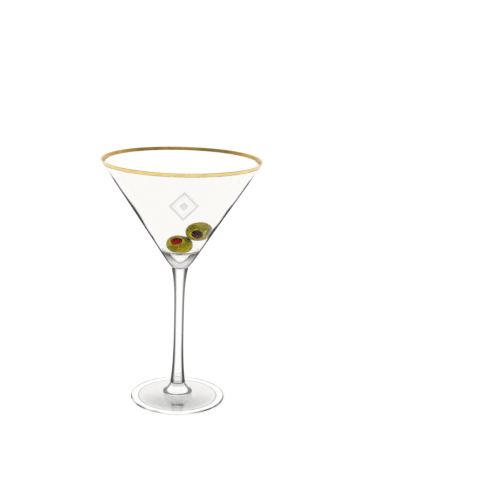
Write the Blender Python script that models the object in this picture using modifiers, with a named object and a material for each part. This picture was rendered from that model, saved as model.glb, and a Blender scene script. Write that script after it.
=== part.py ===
"""A stemmed martini glass with a gilded lip, holding two stuffed olives.

Metres, +Z up. The origin is the centre of the foot's resting plane, on the
glass's axis. +X is to the right of the glass's front and -Y is towards it.
"""

import math

import bmesh
import bpy
from mathutils import Euler, Vector

MM = 0.001

# Driving dimensions
HEIGHT = 188.5 * MM
RIM_RADIUS = 60.4 * MM  # to the sharp corner that the lip's rounding takes off
WALL_ANGLE = math.radians(32.8)  # half angle of the bowl's cone
WALL = 1.3 * MM  # thickness of the cone's wall
GAP = 0.3 * MM  # clearance between neighbouring pieces

# Gilded lip
BAND_HEIGHT = 2.5 * MM
LIP_ROUNDING = 0.55 * MM

# Bowl's solid base, with a rounded well in the middle
SEAM_Z = 105.6 * MM  # plane where the stem meets the bowl
SHOULDER_Z = 110.0 * MM  # below it the outside narrows faster, towards the stem
WELL_FLOOR_Z = 109.8 * MM
WELL_RADIUS = 8.6 * MM
LEDGE_Z = 118.2 * MM  # the base's upper edge, on which an olive rests
LEDGE_RISE = 0.9 * MM

# Stem, waisted between two flares
STEM_TOP_RADIUS = 6.5 * MM
STEM_WAIST_RADIUS = 3.8 * MM
STEM_WAIST_Z = 60.0 * MM
STEM_BASE_RADIUS = 5.75 * MM
STEM_BASE_Z = 12.6 * MM
TOP_FLARE = 3.8  # power of the flare towards the bowl
BASE_FLARE = 3.2  # power of the flare towards the foot

# Bell-shaped collar between the stem and the foot
COLLAR_BASE_Z = 4.2 * MM
COLLAR_RADIUS = 11.2 * MM
COLLAR_LIP = 1.2 * MM
BELL_RADIUS = 9.9 * MM
BELL_FLARE = 1.3

# Foot, a disc with a hollow underside and a flat resting ring
FOOT_RADIUS = 36.2 * MM
FOOT_EDGE = 1.8 * MM
SEAT_RADIUS = 11.8 * MM
REST_INNER_RADIUS = 30.5 * MM
REST_OUTER_RADIUS = 34.9 * MM
HOLLOW_DEPTH = 1.5 * MM

# Facets round the axis
RIM_STEPS = 72
FOOT_STEPS = 64
STEM_STEPS = 32
PLUG_STEPS = 20
OLIVE_SEGMENTS = 28
OLIVE_RINGS = 14
CORNER_STEPS = 3  # edges in a rounded corner of a profile
FLARE_STEPS = 9
BELL_STEPS = 5
WELL_STEPS = 6
SLOPE_STEPS = 5
HOLLOW_STEPS = 5

# Olives. Sizes are half lengths, and the hole's direction is from the olive's centre.
HOLE_DEPTH = 7.0 * MM
HOLE_CHAMFER = 1.1 * MM
PLUG_CROWN = 0.9 * MM
OLIVE_FULLNESS = 0.9  # below 1 an olive's outline is fuller than an ellipse

LOWER_OLIVE = {
    "centre": Vector((-0.7, 0.9, 123.1)) * MM,
    "half_size": Vector((10.2, 9.8, 6.8)) * MM,
    "tilt": (0.0, math.radians(4.0), 0.0),
    "hole": Vector((-3.6, -7.6, 5.1)),
    "hole_half_size": (4.1 * MM, 2.9 * MM),
}
UPPER_OLIVE = {
    "centre": Vector((13.8, -0.7, 134.0)) * MM,
    "half_size": Vector((10.4, 8.8, 6.9)) * MM,
    "tilt": (0.0, math.radians(-6.0), 0.0),
    "hole": Vector((-1.9, -8.8, -0.3)),
    "hole_half_size": (3.9 * MM, 3.0 * MM),
}

# Colour, roughness and metallic value of each material
CLEAR_GLASS = ((0.93, 0.95, 0.95, 1.0), 0.03, 0.0)
GOLD = ((0.83, 0.61, 0.22, 1.0), 0.25, 1.0)
OLIVE_FLESH = ((0.30, 0.28, 0.02, 1.0), 0.35, 0.0)
RED_PEPPER = ((0.20, 0.01, 0.01, 1.0), 0.30, 0.0)


def clear_scene():
    for item in list(bpy.data.objects):
        bpy.data.objects.remove(item, do_unlink=True)


def new_collection(name):
    collection = bpy.data.collections.new(name)
    bpy.context.scene.collection.children.link(collection)
    return collection


def material(name, look):
    colour, roughness, metallic = look
    made = bpy.data.materials.new(name)
    made.use_nodes = True
    shader = made.node_tree.nodes["Principled BSDF"]
    shader.inputs["Base Color"].default_value = colour
    shader.inputs["Roughness"].default_value = roughness
    shader.inputs["Metallic"].default_value = metallic
    made.diffuse_color = colour
    return made


def add_object(name, mesh, collection, look=None):
    made = bpy.data.objects.new(name, mesh)
    collection.objects.link(made)
    if look is not None:
        mesh.materials.append(material(name, look))
    return made


def outer_radius(z):
    """Radius of the cone's outside at height z."""
    return RIM_RADIUS - (HEIGHT - z) * math.tan(WALL_ANGLE)


def inner_radius(z):
    """Radius of the cone's inside at height z."""
    return outer_radius(z) - WALL / math.cos(WALL_ANGLE)


def rounded(corners):
    """Outline through (radius, z, rounding) corners, with each rounding as an arc."""
    outline = []
    last = len(corners) - 1
    for index, (radius, z, rounding) in enumerate(corners):
        corner = Vector((radius, z))
        if rounding == 0.0 or index in (0, last):
            outline.append(corner)
            continue
        before = Vector(corners[index - 1][:2]) - corner
        after = Vector(corners[index + 1][:2]) - corner
        half_angle = before.angle(after) / 2.0
        setback = rounding / math.tan(half_angle)
        start = corner + before.normalized() * setback
        end = corner + after.normalized() * setback
        bisector = (before.normalized() + after.normalized()).normalized()
        centre = corner + bisector * (rounding / math.sin(half_angle))
        sweep = (start - centre).angle(end - centre)
        side = (start - centre).normalized()
        across = ((end - centre) - side * (end - centre).dot(side)).normalized()
        for step in range(CORNER_STEPS + 1):
            angle = sweep * step / CORNER_STEPS
            outline.append(centre + rounding * (side * math.cos(angle) + across * math.sin(angle)))
    return outline


def turned(name, outline, steps, collection, look=None, closed=False):
    """Body of revolution about Z, from an outline of (radius, z) points."""
    shape = bmesh.new()
    points = [shape.verts.new((radius, 0.0, z)) for radius, z in outline]
    for first, second in zip(points, points[1:]):
        shape.edges.new((first, second))
    if closed:
        shape.edges.new((points[-1], points[0]))
    mesh = bpy.data.meshes.new(name)
    shape.to_mesh(mesh)
    shape.free()
    made = add_object(name, mesh, collection, look)
    screw = made.modifiers.new("Turn", "SCREW")
    screw.axis = "Z"
    screw.steps = steps
    screw.render_steps = steps
    screw.use_merge_vertices = True
    screw.merge_threshold = 0.00001
    screw.use_smooth_shade = True
    return made


def flared(start, end, power, count):
    """Points of a flare from its thin end to its wide end, each given as (radius, z)."""
    points = []
    for step in range(count + 1):
        way = step / count
        radius = start[0] + (end[0] - start[0]) * way**power
        points.append(Vector((radius, start[1] + (end[1] - start[1]) * way)))
    return points


def make_bowl(collection):
    well_top = LEDGE_Z - 1.6 * MM
    well = []
    for step in range(WELL_STEPS + 1):
        angle = math.radians(80.0) * step / WELL_STEPS
        drop = (well_top - WELL_FLOOR_Z) * math.cos(angle)
        well.append(Vector((WELL_RADIUS * math.sin(angle), well_top - drop)))
    ledge_outer_z = LEDGE_Z + LEDGE_RISE
    lip_z = HEIGHT - BAND_HEIGHT - GAP
    bottom_z = SEAM_Z + GAP
    upper = rounded([
        (*well[-1], 0.0),
        (WELL_RADIUS + 0.5 * MM, LEDGE_Z, 0.8 * MM),
        (inner_radius(ledge_outer_z), ledge_outer_z, 2.0 * MM),
        (inner_radius(lip_z), lip_z, 0.0),
    ])
    base = rounded([
        (inner_radius(lip_z), lip_z, 0.0),
        (outer_radius(lip_z), lip_z, 0.0),
        (outer_radius(SHOULDER_Z), SHOULDER_Z, 8.0 * MM),
        (STEM_TOP_RADIUS + 0.15 * MM, bottom_z, 0.3 * MM),
        (0.0, bottom_z, 0.0),
    ])
    turned("bowl", well + upper[1:] + base[1:], RIM_STEPS, collection, CLEAR_GLASS)


def make_gold_rim_band(collection):
    bottom_z = HEIGHT - BAND_HEIGHT
    # The loop is listed from the inner bottom corner, up over the lip and down the outside.
    loop = rounded([
        (inner_radius(bottom_z), bottom_z, 0.0),
        (inner_radius(HEIGHT), HEIGHT, LIP_ROUNDING),
        (RIM_RADIUS, HEIGHT, LIP_ROUNDING),
        (outer_radius(bottom_z), bottom_z, 0.0),
    ])
    turned("gold_rim_band", loop, RIM_STEPS, collection, GOLD, closed=True)


def make_stem(collection):
    waist = (STEM_WAIST_RADIUS, STEM_WAIST_Z)
    upper = flared(waist, (STEM_TOP_RADIUS, SEAM_Z), TOP_FLARE, FLARE_STEPS)
    lower = flared(waist, (STEM_BASE_RADIUS, STEM_BASE_Z), BASE_FLARE, FLARE_STEPS)
    outline = [Vector((0.0, SEAM_Z))] + upper[::-1] + lower[1:] + [Vector((0.0, STEM_BASE_Z))]
    turned("stem", outline, STEM_STEPS, collection, CLEAR_GLASS)


def make_foot_collar(collection):
    lip_top = COLLAR_BASE_Z + COLLAR_LIP
    bell = flared((STEM_BASE_RADIUS + 0.1 * MM, STEM_BASE_Z - GAP), (BELL_RADIUS, lip_top), BELL_FLARE, BELL_STEPS)
    lip = rounded([
        (*bell[-1], 0.0),
        (COLLAR_RADIUS, lip_top, 0.5 * MM),
        (COLLAR_RADIUS, COLLAR_BASE_Z, 0.5 * MM),
        (0.0, COLLAR_BASE_Z, 0.0),
    ])
    outline = [Vector((0.0, STEM_BASE_Z - GAP))] + bell + lip[1:]
    turned("foot_collar", outline, FOOT_STEPS // 2, collection, CLEAR_GLASS)


def make_foot(collection):
    seat_z = COLLAR_BASE_Z - GAP
    slope = []
    for step in range(1, SLOPE_STEPS + 1):
        way = step / SLOPE_STEPS
        radius = SEAT_RADIUS + (FOOT_RADIUS - SEAT_RADIUS) * way
        slope.append((radius, FOOT_EDGE + (seat_z - FOOT_EDGE) * (1.0 - way) ** 1.4, 0.0))
    top = [(0.0, seat_z, 0.0), (SEAT_RADIUS, seat_z, 0.0)] + slope[:-1]
    edge = [
        (FOOT_RADIUS, FOOT_EDGE, 0.6 * MM),
        (FOOT_RADIUS, 0.8 * MM, 0.6 * MM),
        (REST_OUTER_RADIUS, 0.0, 0.0),
        (REST_INNER_RADIUS, 0.0, 0.0),
    ]
    hollow = []
    for step in range(1, HOLLOW_STEPS + 1):
        way = step / HOLLOW_STEPS
        hollow.append((REST_INNER_RADIUS * (1.0 - way), HOLLOW_DEPTH * math.sin(way * math.pi / 2.0), 0.0))
    turned("foot", rounded(top + edge + hollow), FOOT_STEPS, collection, CLEAR_GLASS)


def cut(target, cutter, operation):
    boolean = target.modifiers.new(cutter.name, "BOOLEAN")
    boolean.object = cutter
    boolean.operation = operation
    boolean.solver = "EXACT"
    cutter.hide_render = True
    cutter.display_type = "WIRE"


def fuller(value):
    return math.copysign(abs(value) ** OLIVE_FULLNESS, value)


def make_stuffed_olive(name, plan, collection, cutters):
    """An olive with a blind hole, and the pepper that fills the hole."""
    lift = bpy.data.objects.new(name + "_lift", None)
    lift.location = plan["centre"]
    lift.rotation_euler = Euler(plan["tilt"])
    collection.objects.link(lift)

    shape = bmesh.new()
    bmesh.ops.create_uvsphere(shape, u_segments=OLIVE_SEGMENTS, v_segments=OLIVE_RINGS, radius=1.0)
    half = plan["half_size"]
    for vertex in shape.verts:
        ring = math.hypot(vertex.co.x, vertex.co.y)
        across = vertex.co / ring if ring > 1e-6 else Vector((1.0, 0.0, 0.0))
        ring = fuller(ring)
        vertex.co = Vector((ring * across.x * half.x, ring * across.y * half.y, fuller(vertex.co.z) * half.z))
    mesh = bpy.data.meshes.new(name)
    shape.to_mesh(mesh)
    shape.free()
    mesh.shade_smooth()
    olive = add_object(name, mesh, collection, OLIVE_FLESH)
    olive.parent = lift

    direction = plan["hole"].normalized()
    scaled = Vector([direction[axis] / half[axis] for axis in range(3)])
    mouth = direction / scaled.length  # where the hole's axis leaves the olive
    turn = direction.to_track_quat("Z", "Y")
    wide, narrow = plan["hole_half_size"]
    # The cutter and the plug are turned at the wide half size and squeezed to the narrow one.
    squeeze = (1.0, narrow / wide, 1.0)
    beyond = 3.0 * MM
    hole_outline = [
        Vector((0.0, beyond)),
        Vector((wide + HOLE_CHAMFER + beyond, beyond)),
        Vector((wide + HOLE_CHAMFER, 0.0)),
        Vector((wide, -HOLE_CHAMFER)),
        Vector((wide, -HOLE_DEPTH)),
        Vector((0.0, -HOLE_DEPTH)),
    ]
    hole = turned(name + "_hole", hole_outline, PLUG_STEPS, cutters)
    plug_radius = wide - GAP * wide / narrow
    crown = []
    for step in range(5):
        angle = math.pi / 2.0 * step / 4
        crown.append(Vector((plug_radius * math.sin(angle), -HOLE_CHAMFER + PLUG_CROWN * math.cos(angle))))
    base_z = -HOLE_DEPTH + GAP
    plug_outline = crown + [Vector((plug_radius, base_z)), Vector((0.0, base_z))]
    plug = turned(name + "_pimiento", plug_outline, PLUG_STEPS, collection, RED_PEPPER)
    for piece in (hole, plug):
        piece.parent = lift
        piece.location = mouth
        piece.rotation_euler = turn.to_euler()
        piece.scale = squeeze
    cut(olive, hole, "DIFFERENCE")
    return olive


def make_cavity_cutter(cutters):
    """The space inside the bowl's cone, less the clearance, to press an olive against the wall."""
    inset = GAP / math.cos(WALL_ANGLE)
    low = LEDGE_Z + 3.0 * MM
    outline = [
        Vector((0.0, HEIGHT)),
        Vector((inner_radius(HEIGHT) - inset, HEIGHT)),
        Vector((inner_radius(low) - inset, low)),
        Vector((0.0, low)),
    ]
    return turned("bowl_cavity", outline, RIM_STEPS, cutters)


def main():
    clear_scene()
    glass = new_collection("martini_glass")
    cutters = new_collection("cutters")
    make_foot(glass)
    make_foot_collar(glass)
    make_stem(glass)
    make_bowl(glass)
    make_gold_rim_band(glass)
    make_stuffed_olive("lower_olive", LOWER_OLIVE, glass, cutters)
    upper = make_stuffed_olive("upper_olive", UPPER_OLIVE, glass, cutters)
    cut(upper, make_cavity_cutter(cutters), "INTERSECT")
    bpy.context.view_layer.update()


main()
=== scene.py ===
"""Looks of the martini glass: clear glass, gilded lip, etched ornament and olives.

Metres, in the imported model's own frame, +Z up, with the glass's front towards -Y.
"""

import math

import bmesh
import bpy
from mathutils import Euler, Matrix, Vector, noise


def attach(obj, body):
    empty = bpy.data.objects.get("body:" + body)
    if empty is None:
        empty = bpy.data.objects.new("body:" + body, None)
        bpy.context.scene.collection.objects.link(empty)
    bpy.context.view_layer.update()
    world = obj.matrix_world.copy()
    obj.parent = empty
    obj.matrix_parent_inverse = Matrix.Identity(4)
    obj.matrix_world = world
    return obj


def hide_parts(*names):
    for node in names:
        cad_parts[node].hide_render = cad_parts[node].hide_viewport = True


MM = 0.001

# Camera, placed from the glass's axis and the plane it stands on
CAMERA_DISTANCE = 719.0 * MM
CAMERA_HEIGHT = 310.2 * MM
CAMERA_PITCH = math.radians(14.22)  # downwards
CAMERA_YAW = math.radians(3.575)  # to the right of the glass
CAMERA_ROLL = math.radians(2.05)
CAMERA_LENS = 73.65  # mm, on a 36 mm sensor

# The glass, as in the CAD model, except that the ledge rises more
HEIGHT = 188.5 * MM
RIM_RADIUS = 60.4 * MM
WALL_ANGLE = math.radians(32.8)
WALL = 1.3 * MM
GAP = 0.3 * MM
BAND_HEIGHT = 2.5 * MM
LIP_ROUNDING = 0.55 * MM
SEAM_Z = 105.6 * MM
SHOULDER_Z = 110.0 * MM
WELL_FLOOR_Z = 109.8 * MM
WELL_RADIUS = 8.6 * MM
LEDGE_Z = 118.2 * MM
LEDGE_RISE = 1.8 * MM
STEM_TOP_RADIUS = 6.5 * MM
STEM_WAIST_RADIUS = 3.8 * MM
STEM_WAIST_Z = 60.0 * MM
STEM_BASE_RADIUS = 5.75 * MM
STEM_BASE_Z = 12.6 * MM
TOP_FLARE = 3.8
BASE_FLARE = 3.2
COLLAR_BASE_Z = 4.2 * MM
COLLAR_RADIUS = 11.2 * MM
COLLAR_LIP = 1.2 * MM
BELL_RADIUS = 9.9 * MM
BELL_FLARE = 1.3
FOOT_RADIUS = 36.2 * MM
FOOT_EDGE = 1.8 * MM
SEAT_RADIUS = 11.8 * MM
REST_INNER_RADIUS = 30.5 * MM
REST_OUTER_RADIUS = 34.9 * MM
HOLLOW_DEPTH = 1.5 * MM
WELL_OPENING = math.radians(80.0)  # how far the well's curve turns towards upright
WELL_LIP_DROP = 1.6 * MM
WELL_LIP_WIDTH = 0.5 * MM
WELL_LIP_ROUNDING = 1.2 * MM
LEDGE_ROUNDING = 5.0 * MM
SHOULDER_ROUNDING = 8.0 * MM
BASE_ROUNDING = 0.3 * MM
BASE_MARGIN = 0.15 * MM  # by which the bowl's base is wider than the stem's top
BELL_MARGIN = 0.1 * MM
COLLAR_ROUNDING = 0.5 * MM
FOOT_ROUNDING = 0.6 * MM
FOOT_EDGE_BOTTOM = 0.8 * MM
FOOT_SLOPE_POWER = 1.4

# Olives, as in the CAD model, except for the roll and a slightly wider hole. Sizes are half
# lengths, and the hole's direction is from the centre.
LOWER_OLIVE = {
    "centre": Vector((-0.7, 0.9, 123.1)) * MM,
    "half_size": Vector((10.2, 9.8, 6.8)) * MM,
    "tilt": (0.0, math.radians(4.0), 0.0),
    "hole": Vector((-3.6, -7.6, 5.1)),
    "roll": math.radians(14.0),  # of the hole about its own axis
    "hole_half_size": (4.5 * MM, 3.1 * MM),
    "ridge_highlight": False,
}
UPPER_OLIVE = {
    "centre": Vector((13.8, -0.7, 134.0)) * MM,
    "half_size": Vector((10.4, 8.8, 6.9)) * MM,
    "tilt": (0.0, math.radians(-6.0), 0.0),
    "hole": Vector((-1.9, -8.8, -0.3)),
    "roll": math.radians(-10.0),
    "hole_half_size": (4.3 * MM, 3.2 * MM),
    "ridge_highlight": True,
}
OLIVE_FULLNESS = 0.9
HOLE_DEPTH = 6.7 * MM
LIP_ROUND = 1.0 * MM
PLUG_CROWN = 0.8 * MM
PLUG_SINK = 1.0 * MM  # of the crown's edge below the skin
CREASE_DEPTH = 0.10 * MM
CREASE_WIDTH = 0.5 * MM
CREASE_SLANT = 0.25
DENT_DEPTH = 0.16 * MM
DENT_SIZE = 1.0 / 260.0
GRAIN_DEPTH = 0.12 * MM
GRAIN_SIZE = 1.0 / 900.0
SKIN_BUMP = 0.2 * MM
GILDING_BUMP = 0.2 * MM
WET_GLOSS = 0.05
OLIVE_RINGS = 72
OLIVE_STEPS = 120
CROWN_RINGS = 24

# Etched ornament on the bowl's front, in mm
ORNAMENT_Z = 162.0
ORNAMENT_TURN = math.radians(-87.5)  # azimuth of its middle
ORNAMENT_HALF_WIDTH = 11.0
ORNAMENT_HALF_HEIGHT = 15.0
ORNAMENT_ETCH = [
    (0.0, 1.0), (0.30, 1.0), (0.32, 0.0), (0.56, 0.0), (0.58, 0.5), (0.62, 0.5),
    (0.64, 0.0), (0.76, 0.0), (0.78, 1.0), (0.98, 1.0), (1.0, 0.0),
]  # (share of the way out, depth of etching)

# Glass
GLASS_INDEX = 1.5
BOWL_INDEX = 1.2  # lower than real glass, so reflections don't veil the olives
WALL_TINT = (0.938, 0.934, 0.922, 1.0)
PAINTED_BASE_SHADE = (0.15, 0.125, 0.105, 1.0)
FROST = (0.55, 0.55, 0.63, 1.0)
PAINTED_EDGE_SHADE = (0.010, 0.009, 0.008, 1.0)

# Painted shade: dark lines along the silhouettes, as (inset, darkness). The stem's insets are shares of its
# radius, and the others are in mm.
BOWL_LINE = [(0.0, 0.6), (0.3, 0.96), (1.0, 0.98), (1.5, 0.6), (2.1, 0.0)]
STEM_LINE = [(0.0, 0.6), (0.04, 0.95), (0.26, 0.92), (0.38, 0.35), (0.48, 0.0)]
STEM_FOOT_LINE = [(0.0, 0.4), (0.06, 0.9), (0.30, 0.9), (0.55, 0.0)]
COLLAR_LINE = [(0.0, 0.3), (0.3, 0.75), (0.9, 0.7), (1.4, 0.0)]
BOWL_LINE_TOP = (175.0, 184.0)  # mm, heights over which the bowl's line fades out
BOWL_LINE_THIN = (128.0, 134.0)  # mm, heights over which it thickens upwards
BOWL_LINE_BASE = [(0.05, 0.0), (0.15, 0.75), (0.6, 1.0)]  # (share of the base's height, strength)
STEM_LINE_STRENGTH = [(0.0, 1.0), (0.25, 1.0), (0.5, 0.88), (0.85, 0.88), (1.0, 1.0)]

# The painted grey crescent of shade in the solid glass round the well, in mm
CRESCENT_INSET = 2.75
CRESCENT_TOP = 119.9
CRESCENT_DEPTH = [(0.0, 0.35), (0.40, 0.35), (0.62, 0.60), (0.85, 1.0)]

# Painted reflection on the foot's underside: (share of the way to the ring it stands on, darkness)
FOOT_PAINTED_REFLECTION = [(0.40, 0.0), (0.60, 0.30), (0.70, 0.90), (0.75, 0.55), (0.80, 0.12), (0.95, 0.0)]
FOOT_PAINTED_SHADE = 0.30

# Gilding, as (noise, colour); the inner side's colours are darker, as painted shade
OUTER_GOLD = [(0.3, (0.74, 0.52, 0.16, 1.0)), (0.7, (0.86, 0.66, 0.25, 1.0))]
SHADED_INNER_GOLD = [(0.3, (0.46, 0.27, 0.050, 1.0)), (0.7, (0.62, 0.40, 0.10, 1.0))]
LIP_GOLD = (0.80, 0.60, 0.30, 1.0)

# Olives
FLESH = [
    (0.36, (0.190, 0.165, 0.0, 1.0)),
    (0.50, (0.330, 0.270, 0.0, 1.0)),
    (0.62, (0.480, 0.390, 0.0, 1.0)),
]
SPECK = (0.30, 0.10, 0.0, 1.0)
CUT_FLESH = (0.62, 0.58, 0.0, 1.0)
CUT_REACH = [(0.45, 0.0), (0.54, 1.0), (0.60, 0.8), (0.68, 0.0)]  # (way out in hole widths, share)
RIDGE_HIGHLIGHT = (0.66, 0.62, 0.0, 1.0)
RIDGE_SLANT = math.radians(57.3)
CONTACT_SHADE = (0.012, 0.010, 0.006, 1.0)
# Pepper colours, a bright and a deep one for each olive; the bright end partly stands for painted light on
# one side.
BRIGHT_RED = (0.48, 0.004, 0.0, 1.0)
DEEP_RED = (0.11, 0.0, 0.0, 1.0)
WINE_RED = (0.13, 0.0, 0.0, 1.0)
DARK_WINE = (0.025, 0.0, 0.003, 1.0)

# Studio: brightness of the surroundings by the height of the direction, and the floor
SURROUNDINGS = [(0.0, 1.0), (0.40, 0.95), (0.60, 0.70), (0.70, 0.35), (0.85, 0.35), (0.93, 1.3), (1.00, 1.3)]
SURROUNDINGS_STRENGTH = 1.1
FLOOR_HALF_SIZE = 60.0
FLOOR_GLOW = 0.66

TURN_STEPS = 256
CORNER_STEPS = 8
CURVE_STEPS = 32
LONGEST_EDGE = 2.0 * MM
SHARP_ANGLE = math.radians(35.0)
LEVEL_TOLERANCE = 0.001 * MM
SEAM_TOLERANCE = 0.02 * MM


# ---------------------------------------------------------------- node helpers

class Nodes:
    """A short way to write node trees."""

    def __init__(self, tree):
        self.tree = tree
        tree.nodes.clear()

    def add(self, kind, values=None, **settings):
        node = self.tree.nodes.new(kind)
        for key, value in settings.items():
            setattr(node, key, value)
        for key, value in (values or {}).items():
            self.set(node.inputs[key], value)
        return node

    def set(self, socket, value):
        if isinstance(value, bpy.types.NodeSocket):
            self.tree.links.new(value, socket)
        else:
            socket.default_value = value

    def math(self, operation, first, second=0.0, clamp=False):
        node = self.add("ShaderNodeMath", {0: first, 1: second}, operation=operation, use_clamp=clamp)
        return node.outputs[0]

    def mix(self, factor, first, second):
        node = self.add("ShaderNodeMix", {"Factor": factor}, data_type="RGBA")
        self.set(node.inputs["A"], first)
        self.set(node.inputs["B"], second)
        return node.outputs["Result"]

    def vector_math(self, operation, first, second=(0.0, 0.0, 0.0), output="Vector"):
        node = self.add("ShaderNodeVectorMath", {0: first, 1: second}, operation=operation)
        return node.outputs[output]

    def millimetres(self):
        """The shading point in the piece's own frame, in mm."""
        place = self.add("ShaderNodeTexCoord").outputs["Object"]
        return self.vector_math("MULTIPLY", place, (1.0 / MM, 1.0 / MM, 1.0 / MM))

    def axis(self, vector, name):
        return self.add("ShaderNodeSeparateXYZ", {0: vector}).outputs[name]

    def noise(self, place, size, detail=2.0, roughness=0.5):
        values = {"Vector": place, "Scale": 1.0 / size, "Detail": detail, "Roughness": roughness}
        return self.add("ShaderNodeTexNoise", values).outputs["Fac"]

    def span(self, value, low, high):
        """0 at low, 1 at high, held outside them."""
        return self.math("DIVIDE", self.math("SUBTRACT", value, low), high - low, clamp=True)

    def ramp(self, factor, stops, interpolation="LINEAR"):
        node = self.add("ShaderNodeValToRGB", {"Fac": factor})
        node.color_ramp.interpolation = interpolation
        elements = node.color_ramp.elements
        while len(elements) > 1:
            elements.remove(elements[-1])
        elements[0].position, elements[0].color = stops[0]
        for position, colour in stops[1:]:
            elements.new(position).color = colour
        return node.outputs["Color"]


def grey(value):
    return (value, value, value, 1.0)


def greys(stops):
    return [(position, grey(value)) for position, value in stops]


def new_material(name):
    made = bpy.data.materials.new(name)
    made.use_nodes = True
    return made, Nodes(made.node_tree)


# ---------------------------------------------------------------- shapes

def outer_radius(z):
    return RIM_RADIUS - (HEIGHT - z) * math.tan(WALL_ANGLE)


def inner_radius(z):
    return outer_radius(z) - WALL / math.cos(WALL_ANGLE)


def rounded(corners):
    """Outline through (radius, z, rounding) corners, with each rounding as an arc."""
    outline = []
    last = len(corners) - 1
    for index, (radius, z, rounding) in enumerate(corners):
        corner = Vector((radius, z))
        if rounding == 0.0 or index in (0, last):
            outline.append(corner)
            continue
        before = Vector(corners[index - 1][:2]) - corner
        after = Vector(corners[index + 1][:2]) - corner
        half_angle = before.angle(after) / 2.0
        setback = rounding / math.tan(half_angle)
        start = corner + before.normalized() * setback
        end = corner + after.normalized() * setback
        bisector = (before.normalized() + after.normalized()).normalized()
        centre = corner + bisector * (rounding / math.sin(half_angle))
        sweep = (start - centre).angle(end - centre)
        side = (start - centre).normalized()
        across = ((end - centre) - side * (end - centre).dot(side)).normalized()
        for step in range(CORNER_STEPS + 1):
            angle = sweep * step / CORNER_STEPS
            outline.append(centre + rounding * (side * math.cos(angle) + across * math.sin(angle)))
    return outline


def flared(start, end, power, count):
    points = []
    for step in range(count + 1):
        way = step / count
        radius = start[0] + (end[0] - start[0]) * way**power
        points.append(Vector((radius, start[1] + (end[1] - start[1]) * way)))
    return points


def finer(outline):
    """The same outline with no edge longer than the longest allowed."""
    points = [outline[0]]
    for start, end in zip(outline, outline[1:]):
        parts = max(1, math.ceil((end - start).length / LONGEST_EDGE))
        points.extend(start.lerp(end, part / parts) for part in range(1, parts + 1))
    return points


def turned(name, outline, closed=False):
    """Closed body of revolution about Z, whose outline runs down its outer side."""
    outline = finer(outline)
    shape = bmesh.new()
    rings = []
    for radius, z in outline:
        if radius < 1e-7:
            rings.append([shape.verts.new((0.0, 0.0, z))])
            continue
        ring = []
        for step in range(TURN_STEPS):
            angle = 2.0 * math.pi * step / TURN_STEPS
            ring.append(shape.verts.new((radius * math.cos(angle), radius * math.sin(angle), z)))
        rings.append(ring)
    pairs = list(zip(rings, rings[1:]))
    if closed:
        pairs.append((rings[-1], rings[0]))
    for upper, lower in pairs:
        for step in range(TURN_STEPS):
            following = (step + 1) % TURN_STEPS
            if len(upper) == 1:
                shape.faces.new((upper[0], lower[step], lower[following]))
            elif len(lower) == 1:
                shape.faces.new((upper[step], lower[0], upper[following]))
            else:
                shape.faces.new((upper[step], lower[step], lower[following], upper[following]))
    mesh = bpy.data.meshes.new(name)
    shape.to_mesh(mesh)
    shape.free()
    mesh.shade_smooth()
    mesh.set_sharp_from_angle(angle=SHARP_ANGLE)
    made = bpy.data.objects.new(name, mesh)
    bpy.context.scene.collection.objects.link(made)
    return made


def bowl_outline():
    well_top = LEDGE_Z - WELL_LIP_DROP
    well = []
    for step in range(CURVE_STEPS + 1):
        angle = WELL_OPENING * step / CURVE_STEPS
        drop = (well_top - WELL_FLOOR_Z) * math.cos(angle)
        well.append(Vector((WELL_RADIUS * math.sin(angle), well_top - drop)))
    ledge_outer_z = LEDGE_Z + LEDGE_RISE
    lip_z = HEIGHT - BAND_HEIGHT - GAP
    bottom_z = SEAM_Z + GAP
    upper = rounded([
        (*well[-1], 0.0),
        (WELL_RADIUS + WELL_LIP_WIDTH, LEDGE_Z, WELL_LIP_ROUNDING),
        (inner_radius(ledge_outer_z), ledge_outer_z, LEDGE_ROUNDING),
        (inner_radius(lip_z), lip_z, 0.0),
    ])
    base = rounded([
        (inner_radius(lip_z), lip_z, 0.0),
        (outer_radius(lip_z), lip_z, 0.0),
        (outer_radius(SHOULDER_Z), SHOULDER_Z, SHOULDER_ROUNDING),
        (STEM_TOP_RADIUS + BASE_MARGIN, bottom_z, BASE_ROUNDING),
        (0.0, bottom_z, 0.0),
    ])
    return well + upper[1:] + base[1:]


def band_outline():
    bottom_z = HEIGHT - BAND_HEIGHT
    return rounded([
        (inner_radius(bottom_z), bottom_z, 0.0),
        (inner_radius(HEIGHT), HEIGHT, LIP_ROUNDING),
        (RIM_RADIUS, HEIGHT, LIP_ROUNDING),
        (outer_radius(bottom_z), bottom_z, 0.0),
    ])


def stem_outline():
    waist = (STEM_WAIST_RADIUS, STEM_WAIST_Z)
    upper = flared(waist, (STEM_TOP_RADIUS, SEAM_Z), TOP_FLARE, CURVE_STEPS)
    lower = flared(waist, (STEM_BASE_RADIUS, STEM_BASE_Z), BASE_FLARE, CURVE_STEPS)
    return [Vector((0.0, SEAM_Z))] + upper[::-1] + lower[1:] + [Vector((0.0, STEM_BASE_Z))]


def collar_outline():
    lip_top = COLLAR_BASE_Z + COLLAR_LIP
    bell_top = (STEM_BASE_RADIUS + BELL_MARGIN, STEM_BASE_Z - GAP)
    bell = flared(bell_top, (BELL_RADIUS, lip_top), BELL_FLARE, CURVE_STEPS)
    lip = rounded([
        (*bell[-1], 0.0),
        (COLLAR_RADIUS, lip_top, COLLAR_ROUNDING),
        (COLLAR_RADIUS, COLLAR_BASE_Z, COLLAR_ROUNDING),
        (0.0, COLLAR_BASE_Z, 0.0),
    ])
    return [Vector((0.0, bell_top[1]))] + bell + lip[1:]


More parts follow.
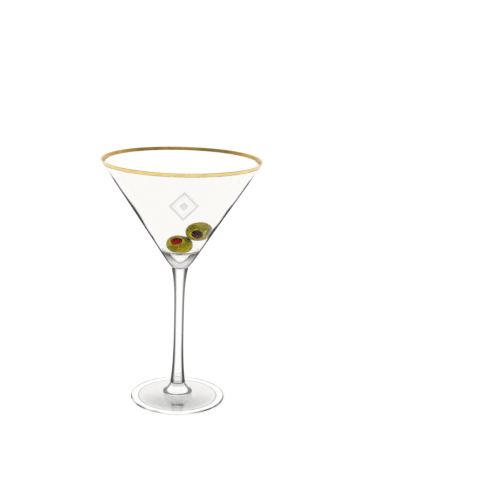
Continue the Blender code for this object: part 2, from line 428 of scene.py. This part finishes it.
def foot_outline():
    seat_z = COLLAR_BASE_Z - GAP
    slope = []
    for step in range(1, CURVE_STEPS + 1):
        way = step / CURVE_STEPS
        radius = SEAT_RADIUS + (FOOT_RADIUS - SEAT_RADIUS) * way
        slope.append((radius, FOOT_EDGE + (seat_z - FOOT_EDGE) * (1.0 - way) ** FOOT_SLOPE_POWER, 0.0))
    top = [(0.0, seat_z, 0.0), (SEAT_RADIUS, seat_z, 0.0)] + slope[:-1]
    edge = [
        (FOOT_RADIUS, FOOT_EDGE, FOOT_ROUNDING),
        (FOOT_RADIUS, FOOT_EDGE_BOTTOM, FOOT_ROUNDING),
        (REST_OUTER_RADIUS, 0.0, 0.0),
        (REST_INNER_RADIUS, 0.0, 0.0),
    ]
    hollow = []
    for step in range(1, CURVE_STEPS + 1):
        way = step / CURVE_STEPS
        hollow.append((REST_INNER_RADIUS * (1.0 - way), HOLLOW_DEPTH * math.sin(way * math.pi / 2.0), 0.0))
    return rounded(top + edge + hollow)


def olive_frame(plan):
    """The hole's frame, Z out along its axis, and how the olive's own axes lie in it."""
    direction = plan["hole"].normalized()
    turn = direction.to_track_quat("Z", "Y").to_matrix() @ Matrix.Rotation(plan["roll"], 3, "Z")
    place = Matrix.Translation(plan["centre"]) @ Euler(plan["tilt"]).to_matrix().to_4x4()
    return turn, place @ turn.to_4x4()


def beyond_olive(point, turn, half):
    """Below 0 inside the olive and above 0 outside it."""
    power = 2.0 / OLIVE_FULLNESS
    own = turn @ point
    ring = math.hypot(own.x / half.x, own.y / half.y)
    return ring**power + abs(own.z / half.z) ** power - 1.0


def on_olive(direction, turn, half):
    power = 2.0 / OLIVE_FULLNESS
    own = turn @ direction
    ring = math.hypot(own.x / half.x, own.y / half.y)
    return direction * (ring**power + abs(own.z / half.z) ** power) ** (-1.0 / power)


def height_over(across, up, turn, half):
    """Height above the hole's middle plane at which the olive's skin is crossed."""
    low, high = 0.0, 2.0 * max(half)
    for _ in range(30):
        middle = (low + high) / 2.0
        if beyond_olive(Vector((across, up, middle)), turn, half) < 0.0:
            low = middle
        else:
            high = middle
    return low


def pressed_in(point):
    """The point, moved in to the bowl's wall less the clearance where it is beyond it."""
    limit = inner_radius(point.z) - GAP / math.cos(WALL_ANGLE)
    radius = math.hypot(point.x, point.y)
    if radius <= limit:
        return point
    return Vector((point.x * limit / radius, point.y * limit / radius, point.z))


def ringed(name, rings, place):
    """Closed mesh of rings from one pole to the other, with its object placed by a matrix."""
    shape = bmesh.new()
    rows = []
    for ring in rings:
        rows.append([shape.verts.new(point) for point in ring])
    for upper, lower in zip(rows, rows[1:]):
        steps = max(len(upper), len(lower))
        for step in range(steps):
            following = (step + 1) % steps
            if len(upper) == 1:
                shape.faces.new((upper[0], lower[step], lower[following]))
            elif len(lower) == 1:
                shape.faces.new((upper[step], lower[0], upper[following]))
            else:
                shape.faces.new((upper[step], lower[step], lower[following], upper[following]))
    bmesh.ops.recalc_face_normals(shape, faces=shape.faces)
    mesh = bpy.data.meshes.new(name)
    shape.to_mesh(mesh)
    shape.free()
    mesh.shade_smooth()
    made = bpy.data.objects.new(name, mesh)
    made.matrix_world = place
    bpy.context.scene.collection.objects.link(made)
    return made


def olive_flesh_mesh(name, plan):
    """The olive's skin, turned in at the hole's rounded lip and down to the hole's floor."""
    turn, place = olive_frame(plan)
    half = plan["half_size"]
    wide, narrow = plan["hole_half_size"]
    mouth = height_over(0.0, 0.0, turn, half)
    angles = [2.0 * math.pi * step / OLIVE_STEPS for step in range(OLIVE_STEPS)]
    rings = [[Vector((0.0, 0.0, mouth - HOLE_DEPTH))]]
    for depth in (HOLE_DEPTH, HOLE_DEPTH - 0.3 * MM, 3.0 * MM, 1.8 * MM):
        rings.append([Vector((wide * math.cos(a), narrow * math.sin(a), mouth - depth)) for a in angles])
    for step in range(CORNER_STEPS + 1):
        turned_by = math.pi / 2.0 * step / CORNER_STEPS
        out = LIP_ROUND * (1.0 - math.cos(turned_by))
        ring = []
        for angle in angles:
            across = (wide + out) * math.cos(angle)
            up = (narrow + out) * math.sin(angle)
            sunk = LIP_ROUND * (1.0 - math.sin(turned_by))
            ring.append(Vector((across, up, height_over(across, up, turn, half) - sunk)))
        rings.append(ring)
    lip = rings[-1]
    for step in range(1, OLIVE_RINGS):
        ring = []
        for start in lip:
            opening = start.angle(Vector((0.0, 0.0, 1.0)))
            polar = opening + (math.pi - opening) * step / OLIVE_RINGS
            azimuth = math.atan2(start.y, start.x)
            direction = Vector((
                math.sin(polar) * math.cos(azimuth),
                math.sin(polar) * math.sin(azimuth),
                math.cos(polar),
            ))
            ring.append(on_olive(direction, turn, half))
        rings.append(ring)
    rings.append([on_olive(Vector((0.0, 0.0, -1.0)), turn, half)])
    back = place.inverted()
    dented = []
    for ring in rings:
        row = []
        for point in ring:
            spot = place @ point
            dent = DENT_DEPTH * (noise.noise(spot / DENT_SIZE) + 1.0)
            spot = spot - (spot - plan["centre"]).normalized() * dent
            row.append(back @ pressed_in(spot))
        dented.append(row)
    return ringed(name, dented, place)


def pepper_mesh(name, plan):
    """The strip of pepper folded into the hole, with a crease across its crown."""
    turn, place = olive_frame(plan)
    half = plan["half_size"]
    wide, narrow = plan["hole_half_size"]
    mouth = height_over(0.0, 0.0, turn, half)
    wide -= GAP
    narrow -= GAP
    angles = [2.0 * math.pi * step / OLIVE_STEPS for step in range(OLIVE_STEPS)]

    def crown(across, up):
        reach = min(1.0, math.hypot(across / wide, up / narrow))
        dome = PLUG_CROWN * math.sqrt(max(0.0, 1.0 - reach**2.5))
        fold = (up - CREASE_SLANT * across) / CREASE_WIDTH
        crease = CREASE_DEPTH * math.exp(-(fold**2)) * (1.0 - reach**4)
        rough = GRAIN_DEPTH * noise.noise(Vector((across, up, half.x)) / GRAIN_SIZE) * (1.0 - reach**4)
        return mouth - PLUG_SINK + dome - crease + rough

    rings = [[Vector((0.0, 0.0, crown(0.0, 0.0)))]]
    for step in range(1, CROWN_RINGS + 1):
        way = math.sin(math.pi / 2.0 * step / CROWN_RINGS)
        spots = [(wide * way * math.cos(a), narrow * way * math.sin(a)) for a in angles]
        rings.append([Vector((across, up, crown(across, up))) for across, up in spots])
    floor = mouth - HOLE_DEPTH + GAP
    rings.append([Vector((wide * math.cos(a), narrow * math.sin(a), floor)) for a in angles])
    rings.append([Vector((0.0, 0.0, floor))])
    return ringed(name, rings, place)


# ---------------------------------------------------------------- materials

def edge_share(nodes):
    """0 where a turned surface is seen edge on, rising with the share of its radius inside that."""
    facing = nodes.add("ShaderNodeLayerWeight", {"Blend": 0.5}).outputs["Facing"]
    cosine = nodes.math("SUBTRACT", 1.0, facing)
    sine = nodes.math("SQRT", nodes.math("SUBTRACT", 1.0, nodes.math("MULTIPLY", cosine, cosine)))
    return nodes.math("SUBTRACT", 1.0, sine)


def distance_from_axis(nodes, place):
    return nodes.vector_math("LENGTH", nodes.vector_math("MULTIPLY", place, (1.0, 1.0, 0.0)), output="Value")


def seen_from_outside(nodes):
    return nodes.math("SUBTRACT", 1.0, nodes.add("ShaderNodeNewGeometry").outputs["Backfacing"])


def band(nodes, value, middle, reach, soft):
    """1 within reach of the middle, falling to 0 over the soft margin."""
    away = nodes.math("ABSOLUTE", nodes.math("SUBTRACT", value, middle))
    return nodes.math("SUBTRACT", 1.0, nodes.span(away, reach, reach + soft))


def dark_line(nodes, inset, stops):
    """Painted shade: how dark the glass is at an inset from its silhouette, from (inset, darkness) stops."""
    reach = stops[-1][0]
    share = nodes.math("DIVIDE", inset, reach, clamp=True)
    return nodes.ramp(share, greys((position / reach, value) for position, value in stops), "EASE")


def on_outer_side(nodes, z, radius):
    """1 on the cone's outer side and 0 on its inner side."""
    slope = math.tan(WALL_ANGLE)
    wall = nodes.math("ADD", nodes.math("MULTIPLY", z, slope), (RIM_RADIUS - HEIGHT * slope) / MM)
    return nodes.math("GREATER_THAN", radius, nodes.math("SUBTRACT", wall, WALL / MM / 2.0))


def finish_glass(
    made, nodes, dark, colour=WALL_TINT, roughness=0.0, reflection=0.5, index=GLASS_INDEX, unbent=None
):
    """Clear glass, painted dark as shade and letting no light through where dark is 1, with no bending where
    unbent is 1.
    """
    shader = nodes.add("ShaderNodeBsdfPrincipled", {
        "Base Color": nodes.mix(dark, colour, PAINTED_EDGE_SHADE),
        "Roughness": roughness,
        "IOR": index,
        "Transmission Weight": nodes.math("SUBTRACT", 1.0, dark, clamp=True),
        "Specular IOR Level": 0.0,
        "Specular Tint": grey(reflection),
    })
    surface = shader.outputs[0]
    if unbent is not None:
        straight = nodes.add("ShaderNodeBsdfTransparent")
        surface = nodes.add("ShaderNodeMixShader", {0: unbent, 1: surface, 2: straight.outputs[0]}).outputs[0]
    nodes.add("ShaderNodeOutputMaterial", {"Surface": surface})
    return made


def fused_seam():
    """Faces on either side of a fused joint, where light goes straight on into the next piece."""
    made, nodes = new_material("fused_seam")
    shader = nodes.add("ShaderNodeBsdfTransparent")
    nodes.add("ShaderNodeOutputMaterial", {"Surface": shader.outputs[0]})
    return made


def fuse(piece, look, seam_z):
    """Give a piece's flat faces at these heights the look of a fused joint."""
    piece.data.materials.append(look)
    vertices = piece.data.vertices
    for face in piece.data.polygons:
        height = face.center.z
        level = all(abs(vertices[index].co.z - height) < LEVEL_TOLERANCE for index in face.vertices)
        if level and any(abs(height - z) < SEAM_TOLERANCE for z in seam_z):
            face.material_index = 1


def ornament_mask(nodes, place):
    """Lozenge within a lozenge, etched on the front of the bowl."""
    x = nodes.axis(place, "X")
    y = nodes.axis(place, "Y")
    turn = nodes.math("SUBTRACT", nodes.math("ARCTAN2", y, x), ORNAMENT_TURN)
    across = nodes.math("MULTIPLY", turn, distance_from_axis(nodes, place))
    above = nodes.math("SUBTRACT", nodes.axis(place, "Z"), ORNAMENT_Z)
    up = nodes.math("DIVIDE", above, math.cos(WALL_ANGLE))
    wide = nodes.math("DIVIDE", nodes.math("ABSOLUTE", across), ORNAMENT_HALF_WIDTH)
    tall = nodes.math("DIVIDE", nodes.math("ABSOLUTE", up), ORNAMENT_HALF_HEIGHT)
    reach = nodes.math("ADD", wide, tall)
    outline = nodes.ramp(reach, greys(ORNAMENT_ETCH))
    front = nodes.math("LESS_THAN", y, 0.0)
    return nodes.math("MULTIPLY", outline, front)


def bowl_look():
    made, nodes = new_material("bowl_glass")
    place = nodes.millimetres()
    z = nodes.axis(place, "Z")
    radius = distance_from_axis(nodes, place)
    outside = on_outer_side(nodes, z, radius)
    within = nodes.math("SUBTRACT", 1.0, outside)
    inset = nodes.math("MULTIPLY", radius, edge_share(nodes))
    # Painted shade: the dark line along the silhouette comes and goes, and is thinner low down.
    thin_low, thin_high = BOWL_LINE_THIN
    thin = nodes.math("MULTIPLY", nodes.span(nodes.noise(place, 30.0, 1.0), 0.40, 0.62), 0.9)
    thin = nodes.math("MAXIMUM", thin, nodes.span(z, thin_high, thin_low))
    narrowed = nodes.math("MULTIPLY", inset, nodes.math("ADD", 1.0, nodes.math("MULTIPLY", thin, 1.2)))
    line = dark_line(nodes, narrowed, BOWL_LINE)
    base_fade = nodes.ramp(nodes.span(z, 105.0, 120.0), greys(BOWL_LINE_BASE))
    fade_low, fade_high = BOWL_LINE_TOP
    fade = nodes.math("MULTIPLY", base_fade, nodes.span(z, fade_high, fade_low))
    line = nodes.math("MULTIPLY", nodes.math("MULTIPLY", line, fade), outside)
    # Painted shade: the solid glass beside and below the well is drawn as a grey crescent with a darker
    # border.
    below_ledge = nodes.span(z, CRESCENT_TOP, CRESCENT_TOP - 0.5)
    crescent = nodes.span(inset, CRESCENT_INSET + 0.20, CRESCENT_INSET - 0.05)
    crescent = nodes.math("MULTIPLY", nodes.math("MULTIPLY", crescent, outside), below_ledge)
    depth = nodes.ramp(nodes.span(z, 106.0, 120.0), greys(CRESCENT_DEPTH))
    border = nodes.math("MULTIPLY", band(nodes, inset, CRESCENT_INSET, 0.10, 0.12), below_ledge)
    crescent = nodes.math("MULTIPLY", crescent, depth)
    crescent_shade = nodes.math("MAXIMUM", crescent, nodes.math("MULTIPLY", border, 0.6))
    crescent_shaded = nodes.mix(crescent_shade, WALL_TINT, PAINTED_BASE_SHADE)
    etched = nodes.math("MULTIPLY", ornament_mask(nodes, place), outside)
    colour = nodes.mix(nodes.math("MULTIPLY", etched, 0.9), crescent_shaded, FROST)
    # The pressed ledge and well aren't fire-polished, so they blur what is seen through them.
    pressed = nodes.math("MULTIPLY", nodes.math("LESS_THAN", z, LEDGE_Z / MM + 1.9), within)
    roughness = nodes.math("MULTIPLY", etched, 0.35)
    roughness = nodes.math("MAXIMUM", roughness, nodes.math("MULTIPLY", pressed, 0.45))
    dark = nodes.math("MAXIMUM", line, nodes.math("MULTIPLY", crescent_shade, 0.5))
    dark = nodes.math("MULTIPLY", dark, seen_from_outside(nodes))
    # Bending in the well's floor would fill the base with dark bands, so light goes straight on.
    well = nodes.math("MULTIPLY", nodes.math("LESS_THAN", z, WELL_FLOOR_Z / MM + 3.0), within)
    return finish_glass(made, nodes, dark, colour, roughness, reflection=0.05, index=BOWL_INDEX, unbent=well)


def stem_look():
    made, nodes = new_material("stem_glass")
    z = nodes.axis(nodes.millimetres(), "Z")
    base_z = STEM_BASE_Z / MM
    strength = nodes.ramp(nodes.span(z, 12.0, 106.0), greys(STEM_LINE_STRENGTH))
    # Painted shade: dark lines along the stem's silhouette, drawn wider near its foot.
    line = nodes.math("MULTIPLY", dark_line(nodes, edge_share(nodes), STEM_LINE), strength)
    low = nodes.span(z, base_z + 12.0, base_z + 2.0)
    wider = nodes.math("MULTIPLY", dark_line(nodes, edge_share(nodes), STEM_FOOT_LINE), low)
    # Painted shade: the stem is drawn dark just above its joint with the collar.
    seam = nodes.math("MULTIPLY", nodes.math("LESS_THAN", z, base_z + 0.8), 0.75)
    dark = nodes.math("MAXIMUM", nodes.math("MAXIMUM", line, wider), seam)
    return finish_glass(made, nodes, nodes.math("MULTIPLY", dark, seen_from_outside(nodes)))


def collar_look():
    made, nodes = new_material("collar_glass")
    place = nodes.millimetres()
    radius = distance_from_axis(nodes, place)
    z = nodes.axis(place, "Z")
    # Painted shade: dark lines along the collar's silhouette, and patchy dark rings at the bell's foot and
    # along the bottom.
    line = dark_line(nodes, nodes.math("MULTIPLY", radius, edge_share(nodes)), COLLAR_LINE)
    bell_foot = nodes.math("MULTIPLY", band(nodes, radius, BELL_RADIUS / MM, 0.15, 0.5), 0.7)
    bottom = nodes.math("MULTIPLY", band(nodes, z, COLLAR_BASE_Z / MM, 0.3, 0.3), 0.6)
    rings = nodes.math("MAXIMUM", bell_foot, bottom)
    patchy = nodes.span(nodes.noise(place, 7.0, 2.0), 0.35, 0.55)
    dark = nodes.math("MAXIMUM", line, nodes.math("MULTIPLY", rings, patchy))
    return finish_glass(made, nodes, nodes.math("MULTIPLY", dark, seen_from_outside(nodes)))


def foot_look():
    made, nodes = new_material("foot_glass")
    place = nodes.millimetres()
    radius = distance_from_axis(nodes, place)
    sideways = nodes.math("DIVIDE", nodes.math("ABSOLUTE", nodes.axis(place, "X")), radius)
    forward = nodes.math("DIVIDE", nodes.math("MULTIPLY", nodes.axis(place, "Y"), -1.0), radius)
    # Painted shade: the rim is dark at its sides, in streaks.
    edge = nodes.span(radius, FOOT_RADIUS / MM - 0.6, FOOT_RADIUS / MM - 0.1)
    streaks = nodes.span(nodes.noise(place, 12.0, 2.0), 0.35, 0.5)
    streaks = nodes.math("MULTIPLY", nodes.span(sideways, 0.12, 0.6), streaks)
    # On the underside are painted a dark ring, the dark reflection of the collar and a haze of shade round
    # it.
    rest_radius = REST_INNER_RADIUS / MM
    ring = nodes.math("MULTIPLY", band(nodes, radius, rest_radius - 0.2, 0.2, 0.6), 0.4)
    painted_reflection = nodes.ramp(nodes.math("DIVIDE", radius, rest_radius), greys(FOOT_PAINTED_REFLECTION))
    blotch = nodes.span(nodes.noise(place, 5.0, 2.0), 0.2, 0.6)
    painted_reflection = nodes.math("MULTIPLY", painted_reflection, nodes.math("MULTIPLY", nodes.span(forward, 0.86, 0.98), blotch))
    painted_haze = nodes.math("MULTIPLY", nodes.span(forward, -0.2, 1.0), FOOT_PAINTED_SHADE)
    painted_haze = nodes.math("MULTIPLY", band(nodes, radius, 21.0, 4.0, 6.0), painted_haze)
    painted_underside = nodes.math("MAXIMUM", ring, nodes.math("MAXIMUM", painted_reflection, painted_haze))
    underside = nodes.math("LESS_THAN", nodes.axis(place, "Z"), HOLLOW_DEPTH / MM + 0.1)
    painted_underside = nodes.math("MULTIPLY", painted_underside, underside)
    dark = nodes.math("MAXIMUM", nodes.math("MULTIPLY", edge, streaks), painted_underside)
    return finish_glass(made, nodes, dark, reflection=1.0)


def gold():
    """Fired gilding, brushed on, so its gloss and depth vary a little round the lip."""
    made, nodes = new_material("gilding")
    place = nodes.millimetres()
    z = nodes.axis(place, "Z")
    patches = nodes.noise(place, 9.0, 3.0)
    outside = on_outer_side(nodes, z, distance_from_axis(nodes, place))
    # Painted shade: the gilding on the inner side is given darker, browner colours than on the outer side.
    sides = nodes.mix(outside, nodes.ramp(patches, SHADED_INNER_GOLD), nodes.ramp(patches, OUTER_GOLD))
    lip = nodes.span(z, (HEIGHT - LIP_ROUNDING) / MM, HEIGHT / MM - 0.1)
    strokes = nodes.noise(nodes.vector_math("MULTIPLY", place, (1.0, 1.0, 5.0)), 1.2, 3.0)
    bump = nodes.add("ShaderNodeBump", {"Strength": 0.10, "Distance": GILDING_BUMP, "Height": strokes})
    shader = nodes.add("ShaderNodeBsdfPrincipled", {
        "Base Color": nodes.mix(lip, sides, LIP_GOLD),
        "Roughness": nodes.math("ADD", 0.16, nodes.math("MULTIPLY", patches, 0.16)),
        "Metallic": 1.0,
        "Normal": bump.outputs["Normal"],
    })
    nodes.add("ShaderNodeOutputMaterial", {"Surface": shader.outputs[0]})
    return made


def olive_look(name, plan):
    """Brined olive: mottled green flesh, paler round the cut hole, with brown specks."""
    made, nodes = new_material(name)
    place = nodes.millimetres()
    wide, narrow = plan["hole_half_size"]
    squeezed = nodes.vector_math("MULTIPLY", place, (MM / wide, MM / narrow, 0.0))
    reach = nodes.vector_math("LENGTH", squeezed, output="Value")
    front = nodes.math("GREATER_THAN", nodes.axis(place, "Z"), 0.0)
    mottle = nodes.ramp(nodes.noise(place, 6.0, 4.0, 0.6), FLESH)
    specks = nodes.span(nodes.noise(place, 1.6, 2.0), 0.56, 0.66)
    colour = nodes.mix(nodes.math("MULTIPLY", specks, 0.55), mottle, SPECK)
    cut = nodes.ramp(nodes.math("DIVIDE", reach, 2.0), greys(CUT_REACH))
    cut = nodes.math("MULTIPLY", cut, nodes.span(nodes.noise(place, 3.0, 1.0), 0.25, 0.55))
    colour = nodes.mix(nodes.math("MULTIPLY", cut, front), colour, CUT_FLESH)
    if plan["ridge_highlight"]:
        # Painted highlight: where the flesh is folded beside the hole, a pale streak runs off from the lip.
        run = (math.cos(RIDGE_SLANT), math.sin(RIDGE_SLANT), 0.0)
        across = (math.sin(RIDGE_SLANT), -math.cos(RIDGE_SLANT), 0.0)
        along = nodes.vector_math("DOT_PRODUCT", place, run, output="Value")
        aside = nodes.vector_math("DOT_PRODUCT", place, across, output="Value")
        ridge_highlight = nodes.math("MULTIPLY", band(nodes, aside, 3.4, 0.35, 0.5), band(nodes, along, 3.0, 3.2, 1.2))
        colour = nodes.mix(nodes.math("MULTIPLY", ridge_highlight, front), colour, RIDGE_HIGHLIGHT)
    # Painted shadow where the two olives touch.
    midway = (LOWER_OLIVE["centre"] + UPPER_OLIVE["centre"]) / 2.0
    contact = olive_frame(plan)[1].inverted() @ midway
    apart = nodes.vector_math("DISTANCE", place, tuple(contact / MM), output="Value")
    colour = nodes.mix(nodes.span(apart, 3.4, 1.4), colour, CONTACT_SHADE)
    skin = nodes.math("ADD", nodes.noise(place, 0.9, 3.0), nodes.noise(place, 3.5, 1.0))
    bump = nodes.add("ShaderNodeBump", {"Strength": 0.5, "Distance": SKIN_BUMP, "Height": skin})
    roughness = nodes.math("ADD", 0.30, nodes.math("MULTIPLY", nodes.noise(place, 2.5), 0.2))
    shader = nodes.add("ShaderNodeBsdfPrincipled", {
        "Base Color": colour,
        "Roughness": roughness,
        "Specular IOR Level": WET_GLOSS,
        "Normal": bump.outputs["Normal"],
    })
    nodes.add("ShaderNodeOutputMaterial", {"Surface": shader.outputs[0]})
    return made


def pepper_look(name, bright, deep):
    """Sweet pepper: deep red, streaked and wet, with painted light making it brighter on one side."""
    made, nodes = new_material(name)
    place = nodes.millimetres()
    streaks = nodes.noise(nodes.vector_math("MULTIPLY", place, (1.0, 2.2, 1.0)), 1.8, 3.0)
    # The streaks are the pepper's own colour; the brightening towards one side is painted light.
    side = nodes.span(nodes.axis(place, "Y"), 2.2, -2.2)
    factor = nodes.math("MULTIPLY", nodes.math("ADD", streaks, side), 0.5)
    colour = nodes.ramp(factor, [(0.35, deep), (0.80, bright)])
    bump = nodes.add("ShaderNodeBump", {"Strength": 0.5, "Distance": SKIN_BUMP, "Height": streaks})
    shader = nodes.add("ShaderNodeBsdfPrincipled", {
        "Base Color": colour,
        "Roughness": nodes.math("ADD", 0.22, nodes.math("MULTIPLY", streaks, 0.2)),
        "Specular IOR Level": WET_GLOSS,
        "Normal": bump.outputs["Normal"],
    })
    nodes.add("ShaderNodeOutputMaterial", {"Surface": shader.outputs[0]})
    return made


# ---------------------------------------------------------------- scene

def set_camera():
    data = bpy.data.cameras.new("camera")
    data.sensor_width = 36.0
    data.lens = CAMERA_LENS
    camera = bpy.data.objects.new("camera", data)
    bpy.context.scene.collection.objects.link(camera)
    forward = Vector((
        math.sin(CAMERA_YAW) * math.cos(CAMERA_PITCH),
        math.cos(CAMERA_YAW) * math.cos(CAMERA_PITCH),
        -math.sin(CAMERA_PITCH),
    ))
    level = Vector((math.cos(CAMERA_YAW), -math.sin(CAMERA_YAW), 0.0))
    upright = level.cross(forward)
    right = level * math.cos(CAMERA_ROLL) + upright * math.sin(CAMERA_ROLL)
    up = upright * math.cos(CAMERA_ROLL) - level * math.sin(CAMERA_ROLL)
    turn = Matrix((right, up, -forward)).transposed().to_4x4()
    camera.matrix_world = Matrix.Translation((0.0, -CAMERA_DISTANCE, CAMERA_HEIGHT)) @ turn
    bpy.context.scene.camera = camera


def set_world():
    world = bpy.data.worlds.new("studio")
    bpy.context.scene.world = world
    world.use_nodes = True
    nodes = Nodes(world.node_tree)
    direction = nodes.add("ShaderNodeTexCoord").outputs["Generated"]
    height = nodes.add("ShaderNodeSeparateXYZ", {0: direction}).outputs["Z"]
    colour = nodes.ramp(height, greys(SURROUNDINGS))
    background = nodes.add("ShaderNodeBackground", {"Color": colour, "Strength": SURROUNDINGS_STRENGTH})
    output = nodes.add("ShaderNodeOutputWorld")
    nodes.tree.links.new(background.outputs[0], output.inputs["Surface"])


def set_floor():
    mesh = bpy.data.meshes.new("floor")
    shape = bmesh.new()
    bmesh.ops.create_grid(shape, x_segments=1, y_segments=1, size=FLOOR_HALF_SIZE)
    shape.to_mesh(mesh)
    shape.free()
    floor = bpy.data.objects.new("floor", mesh)
    bpy.context.scene.collection.objects.link(floor)
    made, nodes = new_material("floor")
    shader = nodes.add("ShaderNodeBsdfPrincipled", {
        "Base Color": grey(0.5),
        "Roughness": 0.9,
        "Specular IOR Level": 0.0,
        "Emission Color": grey(1.0),
        "Emission Strength": FLOOR_GLOW,
    })
    output = nodes.add("ShaderNodeOutputMaterial")
    nodes.tree.links.new(shader.outputs[0], output.inputs["Surface"])
    mesh.materials.append(made)


def add_piece(piece, look, body, node):
    piece.data.materials.append(look)
    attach(piece, body)
    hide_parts(node)


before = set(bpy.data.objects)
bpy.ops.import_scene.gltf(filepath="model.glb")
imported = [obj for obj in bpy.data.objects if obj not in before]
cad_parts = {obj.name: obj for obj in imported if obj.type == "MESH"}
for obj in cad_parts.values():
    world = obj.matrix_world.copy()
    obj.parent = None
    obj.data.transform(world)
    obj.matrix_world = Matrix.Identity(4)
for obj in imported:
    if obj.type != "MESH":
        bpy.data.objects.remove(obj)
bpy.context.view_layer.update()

bpy.context.scene.view_settings.view_transform = "Standard"
set_camera()
set_world()
set_floor()

add_piece(turned("bowl_glass", bowl_outline()), bowl_look(), "glass", "bowl")
add_piece(turned("rim_gilding", band_outline(), closed=True), gold(), "glass", "gold_rim_band")
seam_look = fused_seam()
for name, outline, look, node, seam_z in (
    ("stem_glass", stem_outline(), stem_look(), "stem", [STEM_BASE_Z]),
    ("collar_glass", collar_outline(), collar_look(), "foot_collar", [STEM_BASE_Z - GAP]),
    ("foot_glass", foot_outline(), foot_look(), "foot", []),
):
    piece = turned(name, outline)
    add_piece(piece, look, "glass", node)
    fuse(piece, seam_look, seam_z)

for which, plan, bright, deep in (
    ("lower", LOWER_OLIVE, BRIGHT_RED, DEEP_RED),
    ("upper", UPPER_OLIVE, WINE_RED, DARK_WINE),
):
    body = "olive_" + which
    node = which + "_olive"
    flesh = olive_flesh_mesh(node + "_flesh", plan)
    add_piece(flesh, olive_look(node + "_skin", plan), body, node)
    pepper = pepper_mesh(node + "_pepper", plan)
    add_piece(pepper, pepper_look(node + "_red", bright, deep), body, node + "_pimiento")
